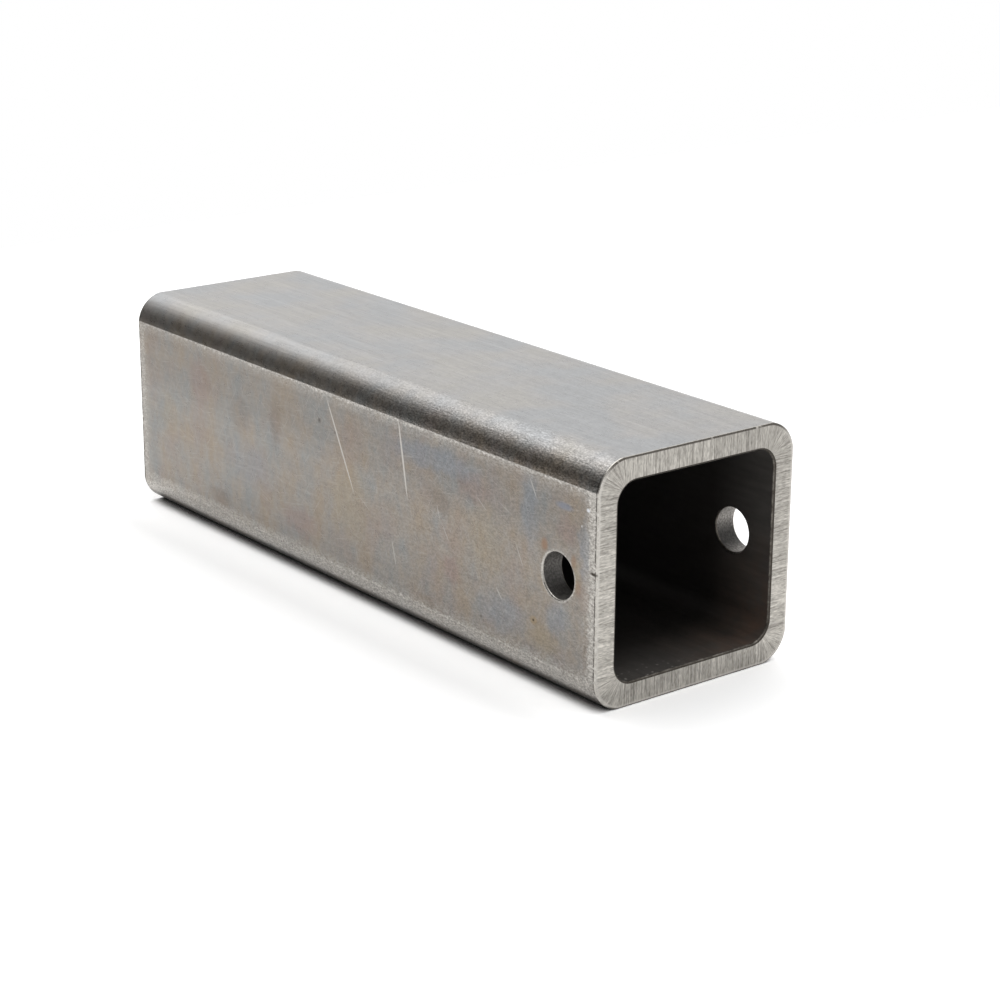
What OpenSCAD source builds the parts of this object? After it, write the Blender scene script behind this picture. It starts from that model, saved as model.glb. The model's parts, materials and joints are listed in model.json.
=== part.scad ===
// Hitch receiver tube: a short length of heavy-wall square steel tube, cross-drilled for a pin.
// The tube lies along X on its lower flat. The origin is at the middle of its underside, and the
// mouth with the pin hole is at +X. All sizes are in millimetres.

/* [Section] */
// Clear width and height of the socket, between its inside flats
socket_w = 50.8; // [30:0.1:80]
// Wall thickness of the flats
wall = 6.35; // [4:0.05:10]
// Radius of the four outside long edges
outer_corner_r = 9; // [5:0.1:12]
// How far the sizing rolls press each side in past its corner curves, which leaves a fine crease
roll_press = 0.1; // [0.05:0.01:0.2]
// Radius of the four corners inside the socket
socket_corner_r = 5.5; // [2:0.1:8]

/* [Length] */
// Length between the two sawn ends
tube_length = 209.55; // [100:0.05:400]

/* [Pin hole] */
// Diameter of the hole drilled through both side walls
pin_hole_d = 11.8; // [8:0.1:18]
// Distance from the mouth to the hole's centre
pin_hole_setback = 14.3; // [12:0.1:60]

/* [Deburred edges] */
// Bevel round the outside edge of each sawn end
end_break = 0.4; // [0.2:0.1:1]
// Bevel round the socket's edge at each sawn end
socket_break = 0.6; // [0.2:0.1:1.5]
// Bevel round the pin hole on both faces of each side wall
hole_break = 0.4; // [0.2:0.1:1]

/* [Hidden] */
// Segments of a full circle
$fn = 96;
// How far a cut runs past the face that it opens
overrun = 2;
tube_w = socket_w + 2 * wall;
steel = [0.60, 0.575, 0.54];

// Half outline of something long whose ends flare outwards at 45 degrees, or narrow when flare is
// below zero. Each point is [place along the length, half width].
function flared_side(length, half_w, flare) = [
    [-length / 2, half_w + flare],
    [-length / 2 + abs(flare), half_w],
    [length / 2 - abs(flare), half_w],
    [length / 2, half_w + flare]
];

// The same outline on both sides of the centre line, as a closed polygon
function flared_outline(length, half_w, flare) =
    let (side = flared_side(length, half_w, flare))
    concat(side, [for (i = [len(side) - 1 : -1 : 0]) [side[i][0], -side[i][1]]]);

// Round bar along Z with flared ends
module flared_round(length, radius, flare) {
    side = [for (p = flared_side(length, radius, flare)) [p[1], p[0]]];
    rotate_extrude() polygon(concat([[0, -length / 2]], side, [[0, length / 2]]));
}

// Slab along X whose two long edge faces flare at the ends, thick along Z
module flared_slab(length, width, thick, flare) {
    linear_extrude(height = thick, center = true)
        polygon(flared_outline(length, width / 2, flare));
}

// Square bar along X with rounded long edges. A round bar stands in each corner, and two crossed
// slabs fill the flats between them, so that the bevel of each end runs evenly round the corners.
module flared_square(length, width, corner_r, flare) {
    corner = width / 2 - corner_r;
    for (turn = [0, 90])
        rotate([turn, 0, 0]) flared_slab(length, width, 2 * corner, flare);
    for (y = [-corner, corner], z = [-corner, corner])
        translate([0, y, z])
            rotate([0, 90, 0])
                flared_round(length, corner_r, flare);
}

// The stock's outer form, with the outside edge of both ends broken. The corner curves belong to a
// slightly wider bar, and the two pairs of sides are pressed flat into it.
module outer_form() {
    formed_w = tube_w + 2 * roll_press;
    intersection() {
        flared_square(tube_length, formed_w, outer_corner_r, -end_break);
        flared_slab(tube_length, tube_w, formed_w + 2 * overrun, -end_break);
        rotate([90, 0, 0]) flared_slab(tube_length, tube_w, formed_w + 2 * overrun, -end_break);
    }
}

// The socket, right through the stock, opening out at both ends
module socket_cut() {
    flared_square(tube_length + 2 * overrun, socket_w, socket_corner_r, socket_break + overrun);
}

// One straight drilling across both side walls at mid height, opening out at both faces of each wall
module pin_hole_cut() {
    for (side = [-1, 1])
        translate([tube_length / 2 - pin_hole_setback, side * (tube_w - wall) / 2, 0])
            rotate([90, 0, 0])
                flared_round(wall + 2 * overrun, pin_hole_d / 2, hole_break + overrun);
}

module receiver_tube() {
    color(steel)
        translate([0, 0, tube_w / 2])
            difference() {
                outer_form();
                socket_cut();
                pin_hole_cut();
            }
}

receiver_tube();
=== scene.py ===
"""Hitch receiver tube: a short length of heavy-wall square steel tube, bare, sawn and cross-drilled."""

import json
from functools import partial
from math import atan2, cos, hypot, radians, sin
from types import SimpleNamespace

import bmesh
import bpy
from mathutils import Matrix, Vector


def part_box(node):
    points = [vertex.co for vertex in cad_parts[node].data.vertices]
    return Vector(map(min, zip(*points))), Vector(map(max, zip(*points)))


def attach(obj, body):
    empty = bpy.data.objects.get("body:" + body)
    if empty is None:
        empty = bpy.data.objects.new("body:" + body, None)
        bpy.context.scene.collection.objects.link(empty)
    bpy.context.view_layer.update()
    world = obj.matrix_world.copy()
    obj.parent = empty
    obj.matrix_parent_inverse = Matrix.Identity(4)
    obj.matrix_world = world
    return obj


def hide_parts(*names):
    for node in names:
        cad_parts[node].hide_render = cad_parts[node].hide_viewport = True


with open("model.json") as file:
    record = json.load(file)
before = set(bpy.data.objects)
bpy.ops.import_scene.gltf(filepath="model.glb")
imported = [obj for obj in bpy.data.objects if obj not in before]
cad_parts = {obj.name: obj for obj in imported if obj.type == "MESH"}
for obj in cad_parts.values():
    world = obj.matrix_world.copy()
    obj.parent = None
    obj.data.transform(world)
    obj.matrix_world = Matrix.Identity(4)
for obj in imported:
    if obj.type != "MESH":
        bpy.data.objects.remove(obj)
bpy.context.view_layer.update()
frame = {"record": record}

MM = 0.001

# Sizes of the tube, from the frame and as in the solid
LOW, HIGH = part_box("receiver_tube")
LENGTH = HIGH.x - LOW.x
WIDTH = HIGH.y - LOW.y
MIDDLE = WIDTH / 2
PIN_HOLE = next(m for m in frame["record"]["mounts"] if m["name"] == "pin_hole")
HOLE_X = PIN_HOLE["pos_m"][0]
HOLE_R = PIN_HOLE["dims"]["r_mm"] * MM
WALL = 6.35 * MM
CORNER_R = 9 * MM
ROLL_PRESS = 0.1 * MM
SOCKET_R = 5.5 * MM
END_BREAK = 0.4 * MM
SOCKET_BREAK = 0.6 * MM
HOLE_BREAK = 0.4 * MM

# Where a flat side meets the corner curve: half the flat's width
FLAT = MIDDLE + ROLL_PRESS - CORNER_R + (CORNER_R ** 2 - (CORNER_R - ROLL_PRESS) ** 2) ** 0.5

# The finishes, in the order of the tube's material slots
SKIN, SAWN, BORE, DRILLED, BROKEN, DEBURRED = range(6)

# Roundness of the mesh
CORNER_STEPS = 24
HOLE_STEPS = 64
EDGE_STEPS = 3

# Half the square patch of wall that is rebuilt round the pin hole, and how far below the flats a face may
# lie and still belong to the tube's outer form
PATCH = HOLE_R * 1.6
OUTER_WALL = WALL * 0.7

# What counts as on a plane, as square to an axis and as one smooth turn
ON_PLANE = 1e-7
SQUARE_ON = 0.999
SMOOTH_TURN = radians(5)

# How deep the marks of the near side reach, in mm
MARK_DEPTH = 6.0

# Heat tints there, by colour: middle and half sizes along X and Z in mm, with Z from the floor, and strength
TINTS = {
    "#868d96": (
        (41.0, 49.0, 26.0, 5.0, 0.55), (79.5, 46.0, 4.5, 14.0, 0.40), (69.0, 16.0, 12.0, 7.0, 0.45),
        (-45.0, 26.0, 14.0, 9.0, 0.35), (100.5, 41.0, 3.0, 10.0, 0.55), (90.0, 21.0, 6.0, 4.5, 0.40)),
    "#7c7065": (
        (43.3, 38.4, 6.5, 4.5, 0.45), (37.7, 9.6, 5.0, 2.2, 0.60), (-32.3, 41.9, 4.0, 10.0, 0.35),
        (-61.0, 12.6, 8.0, 3.6, 0.45), (101.8, 15.0, 2.4, 9.0, 0.60), (-50.0, 40.0, 7.0, 8.0, 0.30)),
    "#9a8d78": (
        (3.4, 28.0, 12.0, 15.0, 0.45), (85.7, 13.6, 9.0, 5.5, 0.60), (62.0, 33.0, 10.0, 12.0, 0.40),
        (96.5, 33.0, 3.5, 5.0, 0.60), (-88.0, 30.0, 7.0, 10.0, 0.30)),
    "#937f79": (
        (48.3, 21.0, 5.0, 5.0, 0.55), (-71.1, 44.8, 7.0, 10.0, 0.45), (-20.8, 15.8, 12.0, 5.5, 0.45),
        (58.0, 45.0, 9.0, 5.0, 0.40), (94.0, 44.0, 5.0, 5.0, 0.45))}

# A blue mark, a stain round a pit, rust, pits with a nick, and bright specks there, in the same form
SPOTS = {
    "#7f8797": ((92.6, 49.9, 4.4, 1.3, 0.60),),
    "#a08656": ((81.3, 17.7, 2.0, 1.6, 0.45),),
    "#93735a": ((85.3, 38.4, 1.8, 2.3, 0.70), (96.2, 36.8, 1.4, 2.6, 0.50), (98.0, 30.5, 1.6, 3.0, 0.35)),
    "#3b342d": (
        (-10.4, 47.2, 0.9, 0.9, 0.55), (81.3, 17.7, 0.6, 0.5, 0.80), (103.6, 35.8, 1.9, 0.6, 0.95),
        (-3.0, 45.5, 0.6, 0.7, 0.40), (60.5, 12.5, 0.7, 0.6, 0.40)),
    "#e4e6ea": ((101.3, 51.1, 0.9, 0.7, 0.90), (99.0, 46.6, 0.5, 0.4, 0.35))}

# Scratches there: both ends along X and Z in mm, half width and strength
SCRATCHES = (
    (-7.9, 56.4, 6.4, 28.8, 0.36, 0.75), (25.3, 57.8, 29.7, 33.9, 0.40, 0.90),
    (22.3, 22.8, 24.5, 14.8, 0.28, 0.50), (42.0, 37.4, 43.4, 33.2, 0.24, 0.40),
    (66.3, 22.2, 69.2, 19.0, 0.24, 0.50), (79.2, 54.2, 82.3, 48.7, 0.24, 0.50),
    (44.0, 33.0, 47.5, 28.0, 0.18, 0.40), (58.0, 44.0, 63.0, 40.5, 0.16, 0.35),
    (74.0, 36.0, 77.5, 29.5, 0.18, 0.40), (7.0, 31.0, 13.0, 27.5, 0.16, 0.30))

# Hair scratches all over the sides: how each set is turned, in degrees, and its place in the noise
HAIRS = ((22, 0.0), (-55, 20.0), (75, 40.0), (-12, 60.0))

# The camera, at the photograph's viewing angle
CAMERA_AZIMUTH = 51.605
CAMERA_ELEVATION = 18.064
CAMERA_ROLL = 0.385
CAMERA_DISTANCE = 603.04 * MM
CAMERA_TARGET = Vector((72.235, -35.195, 46.849)) * MM
CAMERA_LENS = 89.469

# The studio's unlit side: its direction, how far its core and its soft edge reach round that, and the light
# that is left in the core
UNLIT_SIDE = Vector((-0.20, -0.975, 0.10))
UNLIT_CORE = radians(44)
UNLIT_EDGE = radians(72)
UNLIT_LIGHT = 0.12

# The softboxes: name, place in metres, side in metres and power in watts
SOFTBOXES = (
    ("overhead_softbox", Vector((-0.10, 0.0, 1.00)), 1.1, 5.2),
    ("left_softbox", Vector((-0.96, 0.16, 0.70)), 0.6, 0.45))

# The white card under the tube: half its side and its middle in metres, and how near the tube shades it
CARD_HALF = 0.75
CARD_MIDDLE = (0.30, 0.35, 0)
SHADE_REACH = 15 * MM

# How bright the camera sees the card, where 1 is white: in the painted shadow deep under the bend, in the
# painted light beside the tube, away from it and past its ends
CARD_PAINTED_SHADOW = 0.1
CARD_BESIDE = 1.8
CARD_AWAY = 1.18
CARD_PAST_END = 1.24


def linear(code):
    """A colour given as #rrggbb in sRGB, as the linear colour that a shader takes."""
    parts = [int(code[i:i + 2], 16) / 255 for i in (1, 3, 5)]
    return [p / 12.92 if p <= 0.04045 else ((p + 0.055) / 1.055) ** 2.4 for p in parts] + [1.0]


def add_node(tree, kind, inputs=(), **settings):
    """Adds a node. Its inputs go by name, or in order as a list, and a node lends its first output."""
    node = tree.nodes.new("ShaderNode" + kind)
    for name, value in settings.items():
        if name == "stops":
            ramp = node.color_ramp.elements
            for place, _ in value[2:]:
                ramp.new(place)
            for element, (place, code) in zip(ramp, sorted(value)):
                element.position, element.color = place, linear(code)
        else:
            setattr(node, name, value)
    sockets = [s for s in node.inputs if s.enabled]
    for key, value in inputs.items() if isinstance(inputs, dict) else enumerate(inputs):
        socket = sockets[key] if isinstance(key, int) else next(s for s in sockets if s.name == key)
        if isinstance(value, bpy.types.Node):
            value = next(s for s in value.outputs if s.enabled)
        if isinstance(value, bpy.types.NodeSocket):
            tree.links.new(value, socket)
        else:
            socket.default_value = value
    return node


def new_material(name):
    """An empty material, and its node maker."""
    material = bpy.data.materials.new(name)
    material.use_nodes = True
    material.node_tree.nodes.clear()
    return material, partial(add_node, material.node_tree)


def across_tube(offset):
    """Stands a flat shape across the tube, at a place along X."""
    return Matrix.Translation((offset, 0, MIDDLE)) @ Matrix.Rotation(radians(90), 4, "Y")


def rounded_square(bm, half, radius):
    """Adds a square face with round corners at the tube's rear end, and returns it."""
    before = set(bm.faces)
    square = bmesh.ops.create_grid(bm, x_segments=1, y_segments=1, size=half, matrix=across_tube(-LENGTH / 2))
    bmesh.ops.bevel(
        bm, geom=square["verts"], affect="VERTICES", offset=radius, segments=CORNER_STEPS, profile=0.5,
        material=-1)
    return next(f for f in bm.faces if f not in before)


def press_flat(bm, face):
    """Presses the four sides of the outer section in, which leaves the crease beside each corner curve."""
    for side in (Vector((0, 1, 0)), Vector((0, -1, 0)), Vector((0, 0, 1)), Vector((0, 0, -1))):
        bmesh.ops.bisect_plane(
            bm, geom=[face, *face.edges, *face.verts], dist=ON_PLANE, plane_no=side, clear_outer=True,
            plane_co=Vector((0, 0, MIDDLE)) + side * MIDDLE)
        face = max(bm.faces, key=lambda f: f.calc_area())
    return face


def make_stock(bm):
    """The square stock with its socket, sawn off square at both ends."""
    rims = [press_flat(bm, rounded_square(bm, MIDDLE + ROLL_PRESS, CORNER_R))]
    rims.append(rounded_square(bm, MIDDLE - WALL, SOCKET_R))
    edges = [e for f in rims for e in f.edges]
    bmesh.ops.delete(bm, geom=rims, context="FACES_ONLY")
    ring = bmesh.ops.bridge_loops(bm, edges=edges)["faces"]
    moved = bmesh.ops.extrude_face_region(bm, geom=ring)["geom"]
    bmesh.ops.translate(bm, vec=(LENGTH, 0, 0), verts=[v for v in moved if isinstance(v, bmesh.types.BMVert)])


def split_at(bm, faces, place, normal):
    """Cuts faces along a plane."""
    geom = {part for f in faces for part in (f, *f.edges, *f.verts)}
    bmesh.ops.bisect_plane(bm, geom=list(geom), dist=ON_PLANE, plane_co=place, plane_no=normal)


def wall_patches(bm):
    """The flat faces of both side walls that lie round the pin hole's place along the tube."""
    return [
        f for f in bm.faces
        if abs(f.calc_center_median().x - HOLE_X) < PATCH and abs(f.normal.y) > SQUARE_ON]


def drill(bm):
    """The pin hole through both side walls. A square patch of each wall face is rebuilt round its circle."""
    axis = Vector((HOLE_X, 0, MIDDLE))
    for sign in (-1, 1):
        split_at(bm, bm.faces[:], axis + Vector((sign * PATCH, 0, 0)), (1, 0, 0))
    for sign in (-1, 1):
        split_at(bm, wall_patches(bm), axis + Vector((0, 0, sign * PATCH)), (0, 0, 1))
    mouths = []
    for patch in [f for f in wall_patches(bm) if abs(f.calc_center_median().z - MIDDLE) < PATCH / 2]:
        centre = patch.calc_center_median()
        bmesh.ops.subdivide_edges(bm, edges=patch.edges[:], cuts=HOLE_STEPS // 4 - 1)
        patch = next(
            f for f in wall_patches(bm)
            if len(f.verts) == HOLE_STEPS and abs(f.calc_center_median().y - centre.y) < MM)
        bmesh.ops.inset_individual(bm, faces=[patch], thickness=MM)
        for v in patch.verts:
            v.co = centre + (v.co - centre).normalized() * HOLE_R
        mouths.append(patch)
    mouths.sort(key=lambda f: f.calc_center_median().y)
    for start, end in (mouths[:2], mouths[2:]):
        circles = start.edges[:] + end.edges[:]
        bmesh.ops.delete(bm, geom=[start, end], context="FACES_ONLY")
        bmesh.ops.bridge_loops(bm, edges=circles)


def is_outside(face):
    """Whether a face of the stock belongs to its outer form, and not to its socket."""
    centre = face.calc_center_median()
    return max(abs(centre.y), abs(centre.z - MIDDLE)) > MIDDLE - OUTER_WALL


def sort_faces(bm):
    """Gives each face the slot of its finish."""
    for face in bm.faces:
        centre = face.calc_center_median()
        from_hole = Vector((centre.x - HOLE_X, 0, centre.z - MIDDLE)).length
        if abs(face.normal.x) > SQUARE_ON and abs(centre.x) > LENGTH / 2 - MM / 10:
            face.material_index = SAWN
        elif from_hole < HOLE_R and abs(centre.y) > MIDDLE - WALL:
            face.material_index = DRILLED
        else:
            face.material_index = SKIN if is_outside(face) else BORE
    for edge in bm.edges:
        edge.smooth = edge.calc_face_angle(0) < SMOOTH_TURN


def edges_between(bm, slot_a, slot_b):
    """The edges where two finishes meet."""
    return [e for e in bm.edges if {f.material_index for f in e.link_faces} == {slot_a, slot_b}]


def break_edges(bm):
    """Takes the sharp corner off the sawn ends and off both faces of the drilled walls."""
    for slot_a, slot_b, size, slot in (
            (SAWN, SKIN, END_BREAK, BROKEN), (SAWN, BORE, SOCKET_BREAK, DEBURRED),
            (DRILLED, SKIN, HOLE_BREAK, BROKEN), (DRILLED, BORE, HOLE_BREAK, DEBURRED)):
        made = bmesh.ops.bevel(
            bm, geom=edges_between(bm, slot_a, slot_b), affect="EDGES", offset=size, offset_type="OFFSET",
            segments=EDGE_STEPS, profile=0.5, material=-1, clamp_overlap=False)
        for face in made["faces"]:
            face.material_index = slot


def build_tube(finishes):
    """The whole tube as one mesh, with one finish for each way that its faces were made."""
    bm = bmesh.new()
    make_stock(bm)
    drill(bm)
    bmesh.ops.recalc_face_normals(bm, faces=bm.faces[:])
    sort_faces(bm)
    break_edges(bm)
    for face in bm.faces:
        face.smooth = True
    mesh = bpy.data.meshes.new("receiver_tube_steel")
    bm.to_mesh(mesh)
    bm.free()
    for finish in finishes:
        mesh.materials.append(finish)
    tube = bpy.data.objects.new("receiver_tube_steel", mesh)
    bpy.context.scene.collection.objects.link(tube)
    even = tube.modifiers.new("even_shading", "WEIGHTED_NORMAL")
    even.keep_sharp = True
    return tube


def measure(add):
    """Where a point lies in mm from the middle of the tube's axis, and the fields that its wear follows."""
    spot = add("Mapping", {
        "Vector": add("TexCoord").outputs["Object"], "Location": (0, 0, -MIDDLE / MM),
        "Scale": (1 / MM,) * 3})
    x, y, z = add("SeparateXYZ", [spot]).outputs
    along, across, rise = add("SeparateXYZ", [add("VectorMath", [spot], operation="ABSOLUTE")]).outputs
    upward = add("Math", [z, across], operation="SUBTRACT")
    centred = add("VectorMath", [spot, (HOLE_X / MM, 0, 0)], operation="SUBTRACT")
    return SimpleNamespace(
        spot=spot, x=x, y=y, z=z, along=along, across=across, upward=upward, centred=centred,
        to_end=add("Math", [LENGTH / 2 / MM, along], operation="SUBTRACT"),
        lesser=add("Math", [across, rise], operation="MINIMUM"),
        around=add("Math", [rise, across], operation="SUBTRACT"),
        on_top=add("MapRange", [upward, -5.0, 5.0, 0.0, 1.0], interpolation_type="SMOOTHSTEP"),
        off_top=add("MapRange", [upward, -5.0, 5.0, 1.0, 0.0], interpolation_type="SMOOTHSTEP"))


def steel(name, paint):
    """A steel finish. Its paint function returns the shader's inputs by name."""
    material, add = new_material(name)
    inputs = paint(add, measure(add))
    add("OutputMaterial", [add("BsdfPrincipled", {"Metallic": 1.0, **inputs})])
    return material


def vary(add, colour, field, *ends):
    """The colour, darkened and lightened by a field. The ends are the field's, then the shade's."""
    shade = add("MapRange", [field, *ends])
    return add("Mix", {"Factor": 1.0, "A": colour, "B": shade}, data_type="RGBA", blend_type="MULTIPLY")


def near_mark(add, spot, middle, half_sizes, strength, turn=0.0, core=0.3):
    """A soft spot or stroke on the near side: full strength in its core, nothing past its half sizes."""
    local = add("Mapping", {
        "Vector": spot, "Location": (middle[0], -MIDDLE / MM, middle[1] - MIDDLE / MM),
        "Rotation": (0, turn, 0), "Scale": (half_sizes[0], MARK_DEPTH, half_sizes[1])},
        vector_type="TEXTURE")
    reach = add("VectorMath", [local], operation="LENGTH")
    return add("MapRange", [reach, 1.0, core, 0.0, strength], interpolation_type="SMOOTHSTEP")


def marked(add, colour, spot, marks):
    """The colour with the marks of a table over it."""
    for code, places in marks.items():
        for x, z, half_x, half_z, strength in places:
            mark = near_mark(add, spot, (x, z), (half_x, half_z), strength)
            colour = add("Mix", {"Factor": mark, "A": colour, "B": linear(code)}, data_type="RGBA")
    return colour


def side_scale(add, at):
    """The sides' scale: warm grey, with faint tan, rosy and blue-grey heat tints in upright patches."""
    upright = add("VectorMath", [at.spot, (1.0, 1.0, 0.6)], operation="MULTIPLY")
    hue = add("TexNoise", {"Vector": upright, "Scale": 1 / 9, "Detail": 4.0, "Roughness": 0.62})
    colour = add("ValToRGB", [hue], stops=[(0.34, "#8d8d8b"), (0.50, "#958f88"), (0.66, "#978c7f")])
    rosy = add("TexNoise", {
        "Vector": upright, "W": 3.0, "Scale": 1 / 8, "Detail": 3.0}, noise_dimensions="4D")
    rosy = add("MapRange", [rosy, 0.50, 0.68, 0.0, 0.35])
    colour = add("Mix", {"Factor": rosy, "A": colour, "B": linear("#93847e")}, data_type="RGBA")
    warp = add("TexNoise", {"Vector": at.spot, "Scale": 1 / 4, "Detail": 3.0})
    shift = add("MapRange", {
        "Vector": warp.outputs["Color"], "From Min": (0, 0, 0), "From Max": (1, 1, 1), "To Min": (-3, -3, -3),
        "To Max": (3, 3, 3)}, data_type="FLOAT_VECTOR")
    drifted = add("VectorMath", [at.spot, shift], operation="ADD")
    colour = marked(add, colour, drifted, TINTS)
    # The scale is a little darker in the upper third
    return vary(add, colour, at.z, 4.0, 12.0, 1.03, 0.89)


def top_scale(add, at):
    """The top's scale: cleaner and greyer, with fine wavy streaks along the tube."""
    hue = add("TexNoise", {
        "Vector": at.spot, "W": 7.0, "Scale": 1 / 18, "Detail": 3.0}, noise_dimensions="4D")
    colour = add("ValToRGB", [hue], stops=[(0.38, "#a1a2a3"), (0.50, "#a6a4a2"), (0.62, "#a8a5a0")])
    lengthways = add("VectorMath", [at.spot, (1 / 14, 1 / 0.9, 1.0)], operation="MULTIPLY")
    streaks = add("TexNoise", {"Vector": lengthways, "Scale": 1.0, "Detail": 3.0, "Distortion": 0.8})
    broad = add("TexNoise", {"Vector": lengthways, "Scale": 0.3, "Detail": 2.0})
    colour = vary(add, colour, streaks, 0.3, 0.7, 0.92, 1.08)
    return vary(add, colour, broad, 0.3, 0.7, 0.97, 1.03)


def scratches(add, at):
    """The deep scratches on the near side, and hair scratches all over the sides."""
    total = 0.0
    for x0, z0, x1, z1, half_width, strength in SCRATCHES:
        middle = ((x0 + x1) / 2, (z0 + z1) / 2)
        half_sizes = (hypot(x1 - x0, z1 - z0) / 2, half_width)
        line = near_mark(add, at.spot, middle, half_sizes, strength, -atan2(z1 - z0, x1 - x0), 0.7)
        total = add("Math", [line, total], operation="MAXIMUM")
    for turn, place in HAIRS:
        local = add("Mapping", {
            "Vector": at.spot, "Location": (place, 0, 0), "Rotation": (0, radians(turn), 0),
            "Scale": (7.0, 7.0, 0.3)}, vector_type="TEXTURE")
        hair = add("TexNoise", {"Vector": local, "Scale": 1.0, "Detail": 1.0})
        total = add("Math", [add("MapRange", [hair, 0.66, 0.74, 0.0, 0.16]), total], operation="MAXIMUM")
    return total


def rubbed_borders(add, at, fray):
    """Where the scale is rubbed off along the creases and beside the sawn ends, less so at the rear."""
    # It is left in a rectangle, 3.2 mm from the ends and 0.9 mm from the creases, with corners of 3 mm radius
    corner = Vector((LENGTH / 2 / MM - 3.2, 0, FLAT / MM - 0.9)) - Vector((3, 0, 3))
    panel = add("CombineXYZ", {"X": at.along, "Z": at.lesser})
    past = add("VectorMath", [panel, corner], operation="SUBTRACT")
    past = add("VectorMath", [past, (0, 0, 0)], operation="MAXIMUM")
    past = add("Math", [add("VectorMath", [past], operation="LENGTH"), fray], operation="ADD")
    border = add("Math", [
        add("MapRange", [past, 2.6, 3.6, 0.0, 0.95]), add("MapRange", [past, 0.6, 2.6, 0.0, 0.3])],
        operation="MAXIMUM")
    flat = add("MapRange", [at.lesser, FLAT / MM + 0.10, FLAT / MM - 0.05, 0.0, 1.0])
    border = add("Math", [border, flat], operation="MULTIPLY")
    return add("Math", [border, add("MapRange", [at.x, -95.0, -10.0, 0.6, 1.0])], operation="MULTIPLY")


def rubbed_low(add, at, fray):
    """Where it is rubbed off in a strip low on the side, wider towards the rear, and on the lower bends."""
    strip_top = add("MapRange", [at.x, -60.0, 100.0, -21.0, -22.8])
    depth = add("Math", [add("Math", [strip_top, at.z], operation="SUBTRACT"), fray], operation="ADD")
    strip = add("MapRange", [depth, 0.0, 1.8, 0.0, 0.55])
    bend = add("Math", [at.z, fray], operation="ADD")
    bend = add("MapRange", [bend, -23.4, -24.8, 0.0, 0.9])
    clear = add("MapRange", [at.z, -27.0, -28.6, 1.0, 0.0])
    return add("Math", [add("Math", [strip, bend], operation="MAXIMUM"), clear], operation="MULTIPLY")


def rubbed_edges(add, at):
    """Where handling has rubbed the scale off, and a line round the pin hole where its burr was filed."""
    ragged = add("TexNoise", {"Vector": at.spot, "Scale": 1 / 0.9, "Detail": 4.0, "Roughness": 0.75})
    fray = add("MapRange", [ragged, 0.3, 0.7, -0.8, 0.8])
    rubbed = add("Math", [rubbed_borders(add, at, fray), rubbed_low(add, at, fray)], operation="MAXIMUM")
    from_axis = add("VectorMath", [at.centred, (1, 0, 1)], operation="MULTIPLY")
    from_axis = add("VectorMath", [from_axis], operation="LENGTH")
    burr = add("MapRange", [from_axis, HOLE_R / MM + 0.85, HOLE_R / MM + 0.5, 0.0, 0.8])
    return add("Math", [rubbed, burr], operation="MAXIMUM")


def skin_grain(add, at):
    """The grain of the scale, and how strong it is: in front and on the sides more than on the top."""
    # About 0.05 mm in reality, drawn at 0.4 mm so that it shows, and drawn out along the tube by the rolls
    drawn_out = add("VectorMath", [at.spot, (0.55, 1.0, 1.0)], operation="MULTIPLY")
    grain = add("TexNoise", {"Vector": drawn_out, "Scale": 1 / 0.4, "Detail": 2.0, "Roughness": 0.6})
    sandy = add("MapRange", [at.x, -60.0, 60.0, 0.12, 1.0], interpolation_type="SMOOTHSTEP")
    sandy = add("Math", [sandy, add("MapRange", [at.on_top, 0.5, 1.0, 1.0, 0.55])], operation="MULTIPLY")
    return grain, sandy


def roll_marks(add, at):
    """Lines along the tube, 0.9 mm apart, that the rolls left."""
    lines = add("CombineXYZ", {"X": add("Math", [at.x, 1 / 40], operation="MULTIPLY"), "Y": at.around})
    return add("TexNoise", {"Vector": lines, "Scale": 1 / 0.9, "Detail": 2.0})


def proud_grains(add, at, colour, grain, sandy):
    """The colour, rubbed lighter in front on the bends' grains that stand proud."""
    on_bend = add("MapRange", [at.lesser, FLAT / MM - 0.1, FLAT / MM + 0.2, 0.0, 1.0])
    on_bend = add("Math", [on_bend, sandy], operation="MULTIPLY")
    proud = vary(add, colour, grain, 0.36, 0.66, 0.78, 1.40)
    return add("Mix", {"Factor": on_bend, "A": colour, "B": proud}, data_type="RGBA")


def painted_highlight_upper_turns(add, at, colour):
    """The colour, lightened by a painted highlight at the turn of the upper bends towards the mouth."""
    below = add("MapRange", [at.upward, -4.6, -1.4, 0.0, 1.0])
    above = add("MapRange", [at.upward, 0.2, 3.2, 1.0, 0.0])
    turned = add("Math", [below, above], operation="MULTIPLY")
    turned = add("Math", [turned, add("MapRange", [at.x, 10.0, 85.0, 0.0, 0.28])], operation="MULTIPLY")
    return vary(add, colour, turned, 0.0, 1.0, 1.0, 2.0)


def lower_bends_and_shade(add, at, colour):
    """The colour, brightest at the turn of the lower bends, and darkened under them by painted shade."""
    colour = vary(add, colour, at.z, -25.5, -23.5, 1.10, 1.0)
    # Painted shade under the lower bends, starting a little lower towards the front
    painted_shade_start = add("MapRange", [at.x, -40.0, 20.0, -28.7, -29.2])
    return vary(add, colour, at.z, painted_shade_start, -27.4, 0.45, 1.0)


def painted_dark_line_beside_ends(add, at, colour):
    """The colour with a broken dark line beside each sawn end's bright corner, save on the top: a painted
    reflection of the dark surroundings.
    """
    dashes = add("TexNoise", {"Vector": at.spot, "Scale": 1 / 1.2, "Detail": 2.0})
    dashes = add("MapRange", [dashes, 0.40, 0.52, 0.0, 0.8])
    line = add("MapRange", [at.to_end, 0.90, 0.75, 0.0, 1.0])
    line = add("Math", [add("Math", [line, dashes], operation="MULTIPLY"), at.off_top], operation="MULTIPLY")
    return add("Mix", {"Factor": line, "A": colour, "B": linear("#4c4843")}, data_type="RGBA")


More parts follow.
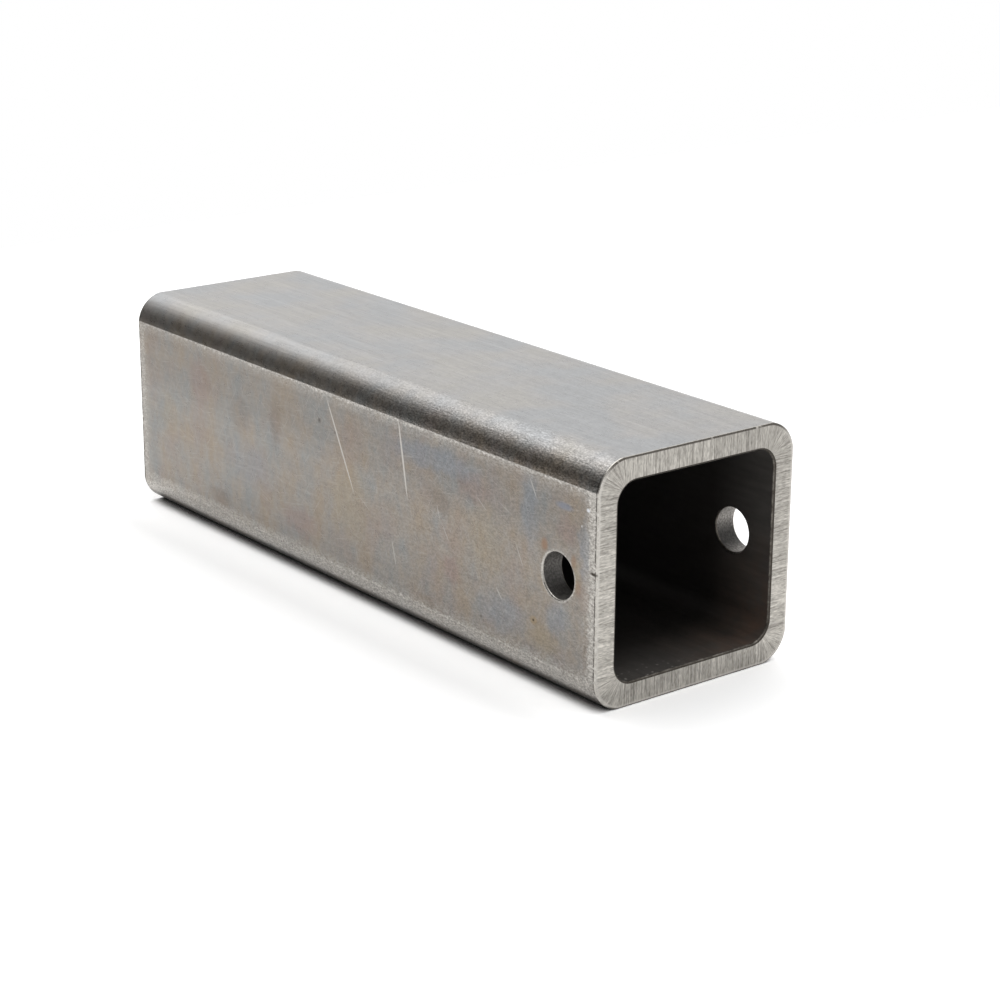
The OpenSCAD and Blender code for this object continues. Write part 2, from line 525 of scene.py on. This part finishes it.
def paint_skin(add, at):
    """Mill scale left by hot rolling: a dull oxide, sandy on the bends and rubbed bright at the edges."""
    scale = {"Factor": at.on_top, "A": side_scale(add, at), "B": top_scale(add, at)}
    colour = add("Mix", scale, data_type="RGBA")
    grain, sandy = skin_grain(add, at)
    grained = vary(add, colour, grain, 0.32, 0.68, 0.84, 1.16)
    colour = add("Mix", {"Factor": sandy, "A": colour, "B": grained}, data_type="RGBA")
    cloud = add("TexNoise", {"Vector": at.spot, "Scale": 1 / 2.2, "Detail": 5.0, "Roughness": 0.7})
    colour = vary(add, colour, cloud, 0.32, 0.68, 0.90, 1.10)
    colour = proud_grains(add, at, colour, grain, sandy)
    rolled = roll_marks(add, at)
    colour = vary(add, colour, rolled, 0.3, 0.7, 0.95, 1.05)
    # A painted highlight on the upper bends towards the mouth
    colour = painted_highlight_upper_turns(add, at, colour)
    # Bare metal: speckled by the grain where the scale is rubbed off, and smooth in the scratches
    bare = add("Math", [rubbed_edges(add, at), at.off_top], operation="MULTIPLY")
    speckled = add("ValToRGB", [grain], stops=[(0.34, "#96928c"), (0.50, "#b8b4ae"), (0.66, "#d8d4ce")])
    colour = add("Mix", {"Factor": bare, "A": colour, "B": speckled}, data_type="RGBA")
    scored = add("Math", [scratches(add, at), at.off_top], operation="MULTIPLY")
    colour = add("Mix", {"Factor": scored, "A": colour, "B": linear("#c9c5bf")}, data_type="RGBA")
    colour = marked(add, colour, at.spot, SPOTS)
    # Painted shade under the lower bends
    colour = lower_bends_and_shade(add, at, colour)
    # A painted dark reflection beside the sawn ends
    colour = painted_dark_line_beside_ends(add, at, colour)
    lines = add("Bump", {"Height": rolled, "Strength": 1.0, "Distance": 0.03 * MM})
    return {
        "Base Color": colour,
        "Roughness": add("MapRange", [cloud, 0.3, 0.7, 0.25, 0.35]),
        "Normal": add("Bump", {"Height": grain, "Strength": sandy, "Distance": 0.08 * MM, "Normal": lines})}


def round_ring(add, at):
    """On a sawn end: how far out a point lies from its corner's centre, and its place round the ring."""
    corner = (MIDDLE + ROLL_PRESS - CORNER_R) / MM
    flat = add("CombineXYZ", {"Y": at.y, "Z": at.z})
    root = add("VectorMath", [flat, (0, corner, corner)], operation="MINIMUM")
    root = add("VectorMath", [root, (0, -corner, -corner)], operation="MAXIMUM")
    outwards = add("VectorMath", [flat, root], operation="SUBTRACT")
    reach = add("VectorMath", [outwards], operation="LENGTH")
    # Round a corner the places are as dense as along an arc of 8.5 mm radius
    turn = add("VectorMath", {
        "Vector": add("VectorMath", [outwards], operation="NORMALIZE"), "Scale": 8.5}, operation="SCALE")
    return reach, add("VectorMath", [root, turn], operation="ADD")


def stroke_field(add, reach, place, change):
    """A place for strokes across the wall. The less it changes along a stroke, the longer the stroke."""
    outwards = add("CombineXYZ", {"X": add("Math", [reach, change], operation="MULTIPLY")})
    return add("VectorMath", [place, outwards], operation="ADD")


def painted_dark_line_on_top(add, at, colour, line):
    """The colour with a painted dark reflection along a line, broken into dashes and on the top only."""
    dashes = add("TexNoise", {"Vector": at.spot, "Scale": 1 / 2.2, "Detail": 3.0})
    line = add("Math", [line, add("MapRange", [dashes, 0.30, 0.40, 0.2, 1.0])], operation="MULTIPLY")
    line = add("Math", [line, at.on_top], operation="MULTIPLY")
    return add("Mix", {"Factor": line, "A": colour, "B": linear("#45403b")}, data_type="RGBA")


def paint_sawn(add, at):
    """Bandsawn steel: bright, with fine strokes across the wall that fan out round the corners."""
    reach, place = round_ring(add, at)
    # Fine strokes across the wall, broken ones 1 mm long over them, and deep ones 1 to 2 mm long
    long = stroke_field(add, reach, place, 0.03)
    short = stroke_field(add, reach, place, 0.25)
    fine = add("TexNoise", {"Vector": long, "Scale": 1 / 0.38, "Detail": 2.0, "Roughness": 0.6})
    broken = add("TexNoise", {"Vector": short, "Scale": 1 / 0.3, "Detail": 1.0})
    deep = add("TexNoise", {
        "Vector": short, "W": 5.0, "Scale": 1 / 0.38, "Detail": 1.0}, noise_dimensions="4D")
    colour = add("ValToRGB", [fine], stops=[
        (0.34, "#918d87"), (0.46, "#aeaaa3"), (0.58, "#bbb7b0"), (0.70, "#cecac3")])
    colour = vary(add, colour, broken, 0.30, 0.70, 0.76, 1.24)
    colour = vary(add, colour, deep, 0.26, 0.36, 0.62, 1.0)
    # Darker towards the top far corner, with painted shade along the bottom wall, and uneven by about 11 mm
    # patches
    slope = add("Math", [at.z, add("Math", [at.y, 0.5], operation="MULTIPLY")], operation="ADD")
    colour = vary(add, colour, slope, -34.0, 40.0, 1.10, 0.86)
    # Painted shade along the bottom wall
    colour = vary(add, colour, at.z, -27.0, -25.0, 0.86, 1.02)
    colour = vary(add, colour, add("TexNoise", {"Vector": at.spot, "Scale": 1 / 11}), 0.3, 0.7, 0.93, 1.07)
    # Burnished just inside the outer edge, apart from the top one, which has a painted dark line of
    # reflection
    rim = add("MapRange", [reach, 7.9, 8.3, 0.0, 0.6])
    rim = add("Math", [rim, at.off_top], operation="MULTIPLY")
    colour = add("Mix", {"Factor": rim, "A": colour, "B": linear("#d0ccc6")}, data_type="RGBA")
    colour = painted_dark_line_on_top(add, at, colour, add("MapRange", [reach, 8.3, 8.45, 0.0, 0.85]))
    return {
        "Base Color": colour,
        "Roughness": add("MapRange", [fine, 0.3, 0.7, 0.30, 0.42]),
        "Normal": add("Bump", {"Height": fine, "Strength": 0.7, "Distance": 0.012 * MM})}


def dust_specks(add, at):
    """Pale specks of dust on the socket's floor beside a mouth, most of them on its near half."""
    specks = add("TexVoronoi", {"Vector": at.spot, "Scale": 1 / 1.7})
    specks = add("MapRange", [specks, 0.26, 0.08, 0.0, 0.85])
    there = add("MapRange", [at.to_end, 9.0, 2.0, 0.0, 1.0])
    there = add("Math", [there, add("MapRange", [at.z, -20.0, -24.0, 0.0, 1.0])], operation="MULTIPLY")
    there = add("Math", [there, add("MapRange", [at.y, 2.0, -14.0, 0.1, 1.0])], operation="MULTIPLY")
    return add("Math", [specks, there], operation="MULTIPLY")


def paint_bore(add, at):
    """Unpolished scale inside the socket: nearly black, lightened towards a mouth by painted light, with dust
    and a little rust near a mouth.
    """
    scale = add("TexNoise", {"Vector": at.spot, "Scale": 1 / 6, "Detail": 5.0, "Roughness": 0.65})
    # Painted light: lighter towards each mouth and darker deeper in, as the light falls into the socket
    painted_light_and_rust_near_mouth = add("MapRange", [at.to_end, 24.0, 0.5, 0.0, 1.0], interpolation_type="SMOOTHSTEP")
    colour = add("Mix", {"Factor": painted_light_and_rust_near_mouth, "A": linear("#221f1d"), "B": linear("#4c4946")}, data_type="RGBA")
    # Rust brown in the lower far corner, where water stands
    low_far = add("Math", [at.y, at.z], operation="SUBTRACT")
    rust = add("Math", [add("MapRange", [low_far, 20.0, 45.0, 0.0, 1.0]), painted_light_and_rust_near_mouth], operation="MULTIPLY")
    rust = add("Math", [add("MapRange", [scale, 0.35, 0.65, 0.2, 0.9]), rust], operation="MULTIPLY")
    colour = add("Mix", {"Factor": rust, "A": colour, "B": linear("#5d4a3e")}, data_type="RGBA")
    streaks = add("VectorMath", [at.spot, (1 / 8, 1.0, 1.0)], operation="MULTIPLY")
    streaks = add("TexNoise", {"Vector": streaks, "Scale": 1 / 1.3, "Detail": 4.0})
    colour = vary(add, colour, streaks, 0.3, 0.7, 0.84, 1.16)
    specks = dust_specks(add, at)
    colour = add("Mix", {"Factor": specks, "A": colour, "B": linear("#a8a49e")}, data_type="RGBA")
    return {
        "Base Color": colour, "Metallic": 0.15, "Roughness": add("MapRange", [scale, 0.3, 0.7, 0.42, 0.6]),
        "Normal": add("Bump", {"Height": streaks, "Strength": 0.4, "Distance": 0.02 * MM})}


def paint_drilled(add, at):
    """Drilled steel: torn and grainy with faint rings, and darker towards the lower rear."""
    squashed = add("VectorMath", [at.centred, (0.25, 1.0, 0.25)], operation="MULTIPLY")
    rings = add("TexNoise", {"Vector": squashed, "Scale": 1 / 0.5, "Detail": 3.0, "Roughness": 0.7})
    torn = add("TexNoise", {"Vector": at.spot, "Scale": 1 / 0.6, "Detail": 3.0, "Roughness": 0.7})
    colour = add("ValToRGB", [torn], stops=[(0.36, "#74706c"), (0.50, "#96928d"), (0.66, "#b9b5b0")])
    colour = vary(add, colour, rings, 0.3, 0.7, 0.8, 1.15)
    # Darker in the near wall, and darker towards the lower rear, most in the far one
    colour = vary(add, colour, at.y, -27.0, 27.0, 0.54, 1.04)
    toward_lower_rear = add("VectorMath", [at.centred, (-0.77, 0, -0.64)], operation="DOT_PRODUCT").outputs["Value"]
    lower_rear_darkness = add("MapRange", [at.y, -27.0, 27.0, 0.40, 0.15])
    colour = vary(add, colour, toward_lower_rear, 3.6, 5.8, 1.0, lower_rear_darkness)
    return {
        "Base Color": colour, "Metallic": 0.5, "Roughness": 0.55,
        "Normal": add("Bump", {"Height": torn, "Strength": 0.7, "Distance": 0.02 * MM})}


def paint_broken(add, at):
    """Filed steel: bright where the sharp corner was taken off, and greyer in the hole's countersink."""
    spots = add("TexNoise", {"Vector": at.spot, "Scale": 1 / 0.9, "Detail": 3.0, "Roughness": 0.7})
    colour = add("ValToRGB", [spots], stops=[(0.34, "#b0aca5"), (0.52, "#c6c2bb"), (0.70, "#d6d3cd")])
    in_hole = add("MapRange", [at.to_end, 2.0, 4.0, 0.0, 1.0])
    inner = add("MapRange", [at.across, 31.58, 31.48, 0.0, 0.5])
    inner = add("Math", [inner, in_hole], operation="MULTIPLY")
    colour = add("Mix", {"Factor": inner, "A": colour, "B": linear("#84807a")}, data_type="RGBA")
    # A painted dark reflection along the top corner's cut side, and painted shade on the breaks under the
    # tube
    colour = painted_dark_line_on_top(add, at, colour, add("MapRange", [at.to_end, 0.26, 0.16, 0.0, 0.9]))
    # Painted shade on the lower breaks, where they face the shadowed floor
    under = add("MapRange", [at.z, -29.5, -31.0, 0.0, 0.75])
    colour = add("Mix", {"Factor": under, "A": colour, "B": linear("#5c5852")}, data_type="RGBA")
    colour = marked(add, colour, at.spot, SPOTS)
    return {"Base Color": colour, "Roughness": add("MapRange", [spots, 0.3, 0.7, 0.24, 0.34])}


def paint_deburred(add, at):
    """Scraped steel inside the socket: dull grey with a dark line along the cut."""
    spots = add("TexNoise", {"Vector": at.spot, "Scale": 1 / 1.6, "Detail": 3.0, "Roughness": 0.7})
    colour = add("ValToRGB", [spots], stops=[(0.36, "#56524c"), (0.52, "#736e68"), (0.68, "#918c85")])
    line = add("MapRange", [at.to_end, 0.30, 0.12, 0.0, 0.85])
    colour = add("Mix", {"Factor": line, "A": colour, "B": linear("#3c3833")}, data_type="RGBA")
    return {"Base Color": colour, "Roughness": 0.4}


def card_painted_light_and_shadow(add):
    """How bright the camera sees the card: brighter than white, with painted light beside the tube and a
    painted shadow in the narrow wedge by the bend.
    """
    # The card's openness runs from 0 where the tube shuts it in to 1 in the clear
    openness = add("AmbientOcclusion", {"Distance": SHADE_REACH}, samples=8).outputs["AO"]
    # A painted shadow in the narrow wedge under the bend, and painted light beside the tube
    wedge = add(
        "MapRange", [openness, 0.08, 0.37, CARD_PAINTED_SHADOW, CARD_BESIDE], interpolation_type="SMOOTHSTEP")
    spread = add("MapRange", [openness, 0.38, 1.0, CARD_BESIDE, CARD_AWAY])
    spot = add("VectorMath", [add("TexCoord").outputs["Object"]], operation="ABSOLUTE")
    beside = add("SeparateXYZ", [spot]).outputs["X"]
    end = LENGTH / 2
    past_end = add("MapRange", [beside, end - 3 * MM, end + 1 * MM, CARD_BESIDE, CARD_PAST_END])
    return add("Math", [add("Math", [wedge, spread], operation="MINIMUM"), past_end], operation="MINIMUM")


def make_floor():
    """A white card under the tube. It ends early on the unlit side, and the camera sees it overexposed."""
    bm = bmesh.new()
    bmesh.ops.create_grid(bm, x_segments=1, y_segments=1, size=CARD_HALF)
    bmesh.ops.translate(bm, vec=CARD_MIDDLE, verts=bm.verts[:])
    mesh = bpy.data.meshes.new("floor")
    bm.to_mesh(mesh)
    bm.free()
    floor = bpy.data.objects.new("floor", mesh)
    bpy.context.scene.collection.objects.link(floor)
    material, add = new_material("white_card")
    # Only camera rays see the card brighter than white, with its painted light and shadow. Glossy rays get
    # the plain
    # white card instead: lit as here it is about white already, and a brighter one, mirrored in the steel,
    # would render every colour on it too light.
    seen = add("BsdfDiffuse", {"Color": card_painted_light_and_shadow(add)})
    lit = add("BsdfDiffuse", {"Color": linear("#fafafa")})
    path = add("LightPath")
    add("OutputMaterial", {"Surface": add("MixShader", [path.outputs["Is Camera Ray"], lit, seen])})
    mesh.materials.append(material)


def make_world():
    """A white studio, unlit on the left front side, which gives the long edge its dark line."""
    world = bpy.data.worlds.new("studio")
    bpy.context.scene.world = world
    world.use_nodes = True
    world.node_tree.nodes.clear()
    add = partial(add_node, world.node_tree)
    way = add("TexCoord").outputs["Generated"]
    nearness = add("VectorMath", [way, UNLIT_SIDE.normalized()], operation="DOT_PRODUCT")
    studio = add("MapRange", {
        "Value": nearness.outputs["Value"], "From Min": cos(UNLIT_EDGE), "From Max": cos(UNLIT_CORE),
        "To Min": 1.0, "To Max": UNLIT_LIGHT}, interpolation_type="SMOOTHSTEP")
    # Camera rays see plain white. Glossy rays see the same white, apart from the unlit side.
    path = add("LightPath")
    strength = add("Mix", {"Factor": path.outputs["Is Camera Ray"], "A": studio, "B": 1.0}, data_type="FLOAT")
    add("OutputWorld", {"Surface": add("Background", {"Strength": strength, "Color": linear("#ffffff")})})


def add_softbox(name, place, size, energy):
    """A square lamp that faces the tube from its place."""
    data = bpy.data.lights.new(name, "AREA")
    data.shape = "SQUARE"
    data.size = size
    data.energy = energy
    lamp = bpy.data.objects.new(name, data)
    lamp.location = place
    lamp.rotation_euler = place.to_track_quat("Z", "Y").to_euler()
    bpy.context.scene.collection.objects.link(lamp)


def make_camera():
    """The camera, which looks at its target from the direction that its azimuth and elevation give."""
    azimuth, elevation, roll = (radians(a) for a in (CAMERA_AZIMUTH, CAMERA_ELEVATION, CAMERA_ROLL))
    back = Vector((sin(azimuth) * cos(elevation), -cos(azimuth) * cos(elevation), sin(elevation)))
    data = bpy.data.cameras.new("camera")
    data.lens = CAMERA_LENS
    camera = bpy.data.objects.new("camera", data)
    turn = back.to_track_quat("Z", "Y").to_matrix() @ Matrix.Rotation(roll, 3, "Z")
    camera.matrix_world = Matrix.Translation(CAMERA_TARGET + back * CAMERA_DISTANCE) @ turn.to_4x4()
    bpy.context.scene.collection.objects.link(camera)
    bpy.context.scene.camera = camera


tube = build_tube([
    steel("mill_scale_steel", paint_skin),
    steel("sawn_steel", paint_sawn),
    steel("scaled_bore_steel", paint_bore),
    steel("drilled_steel", paint_drilled),
    steel("filed_edge_steel", paint_broken),
    steel("scraped_edge_steel", paint_deburred)])
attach(tube, "root")
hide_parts("receiver_tube")
make_floor()
make_world()
for softbox in SOFTBOXES:
    add_softbox(*softbox)
make_camera()
bpy.context.scene.view_settings.view_transform = "Standard"
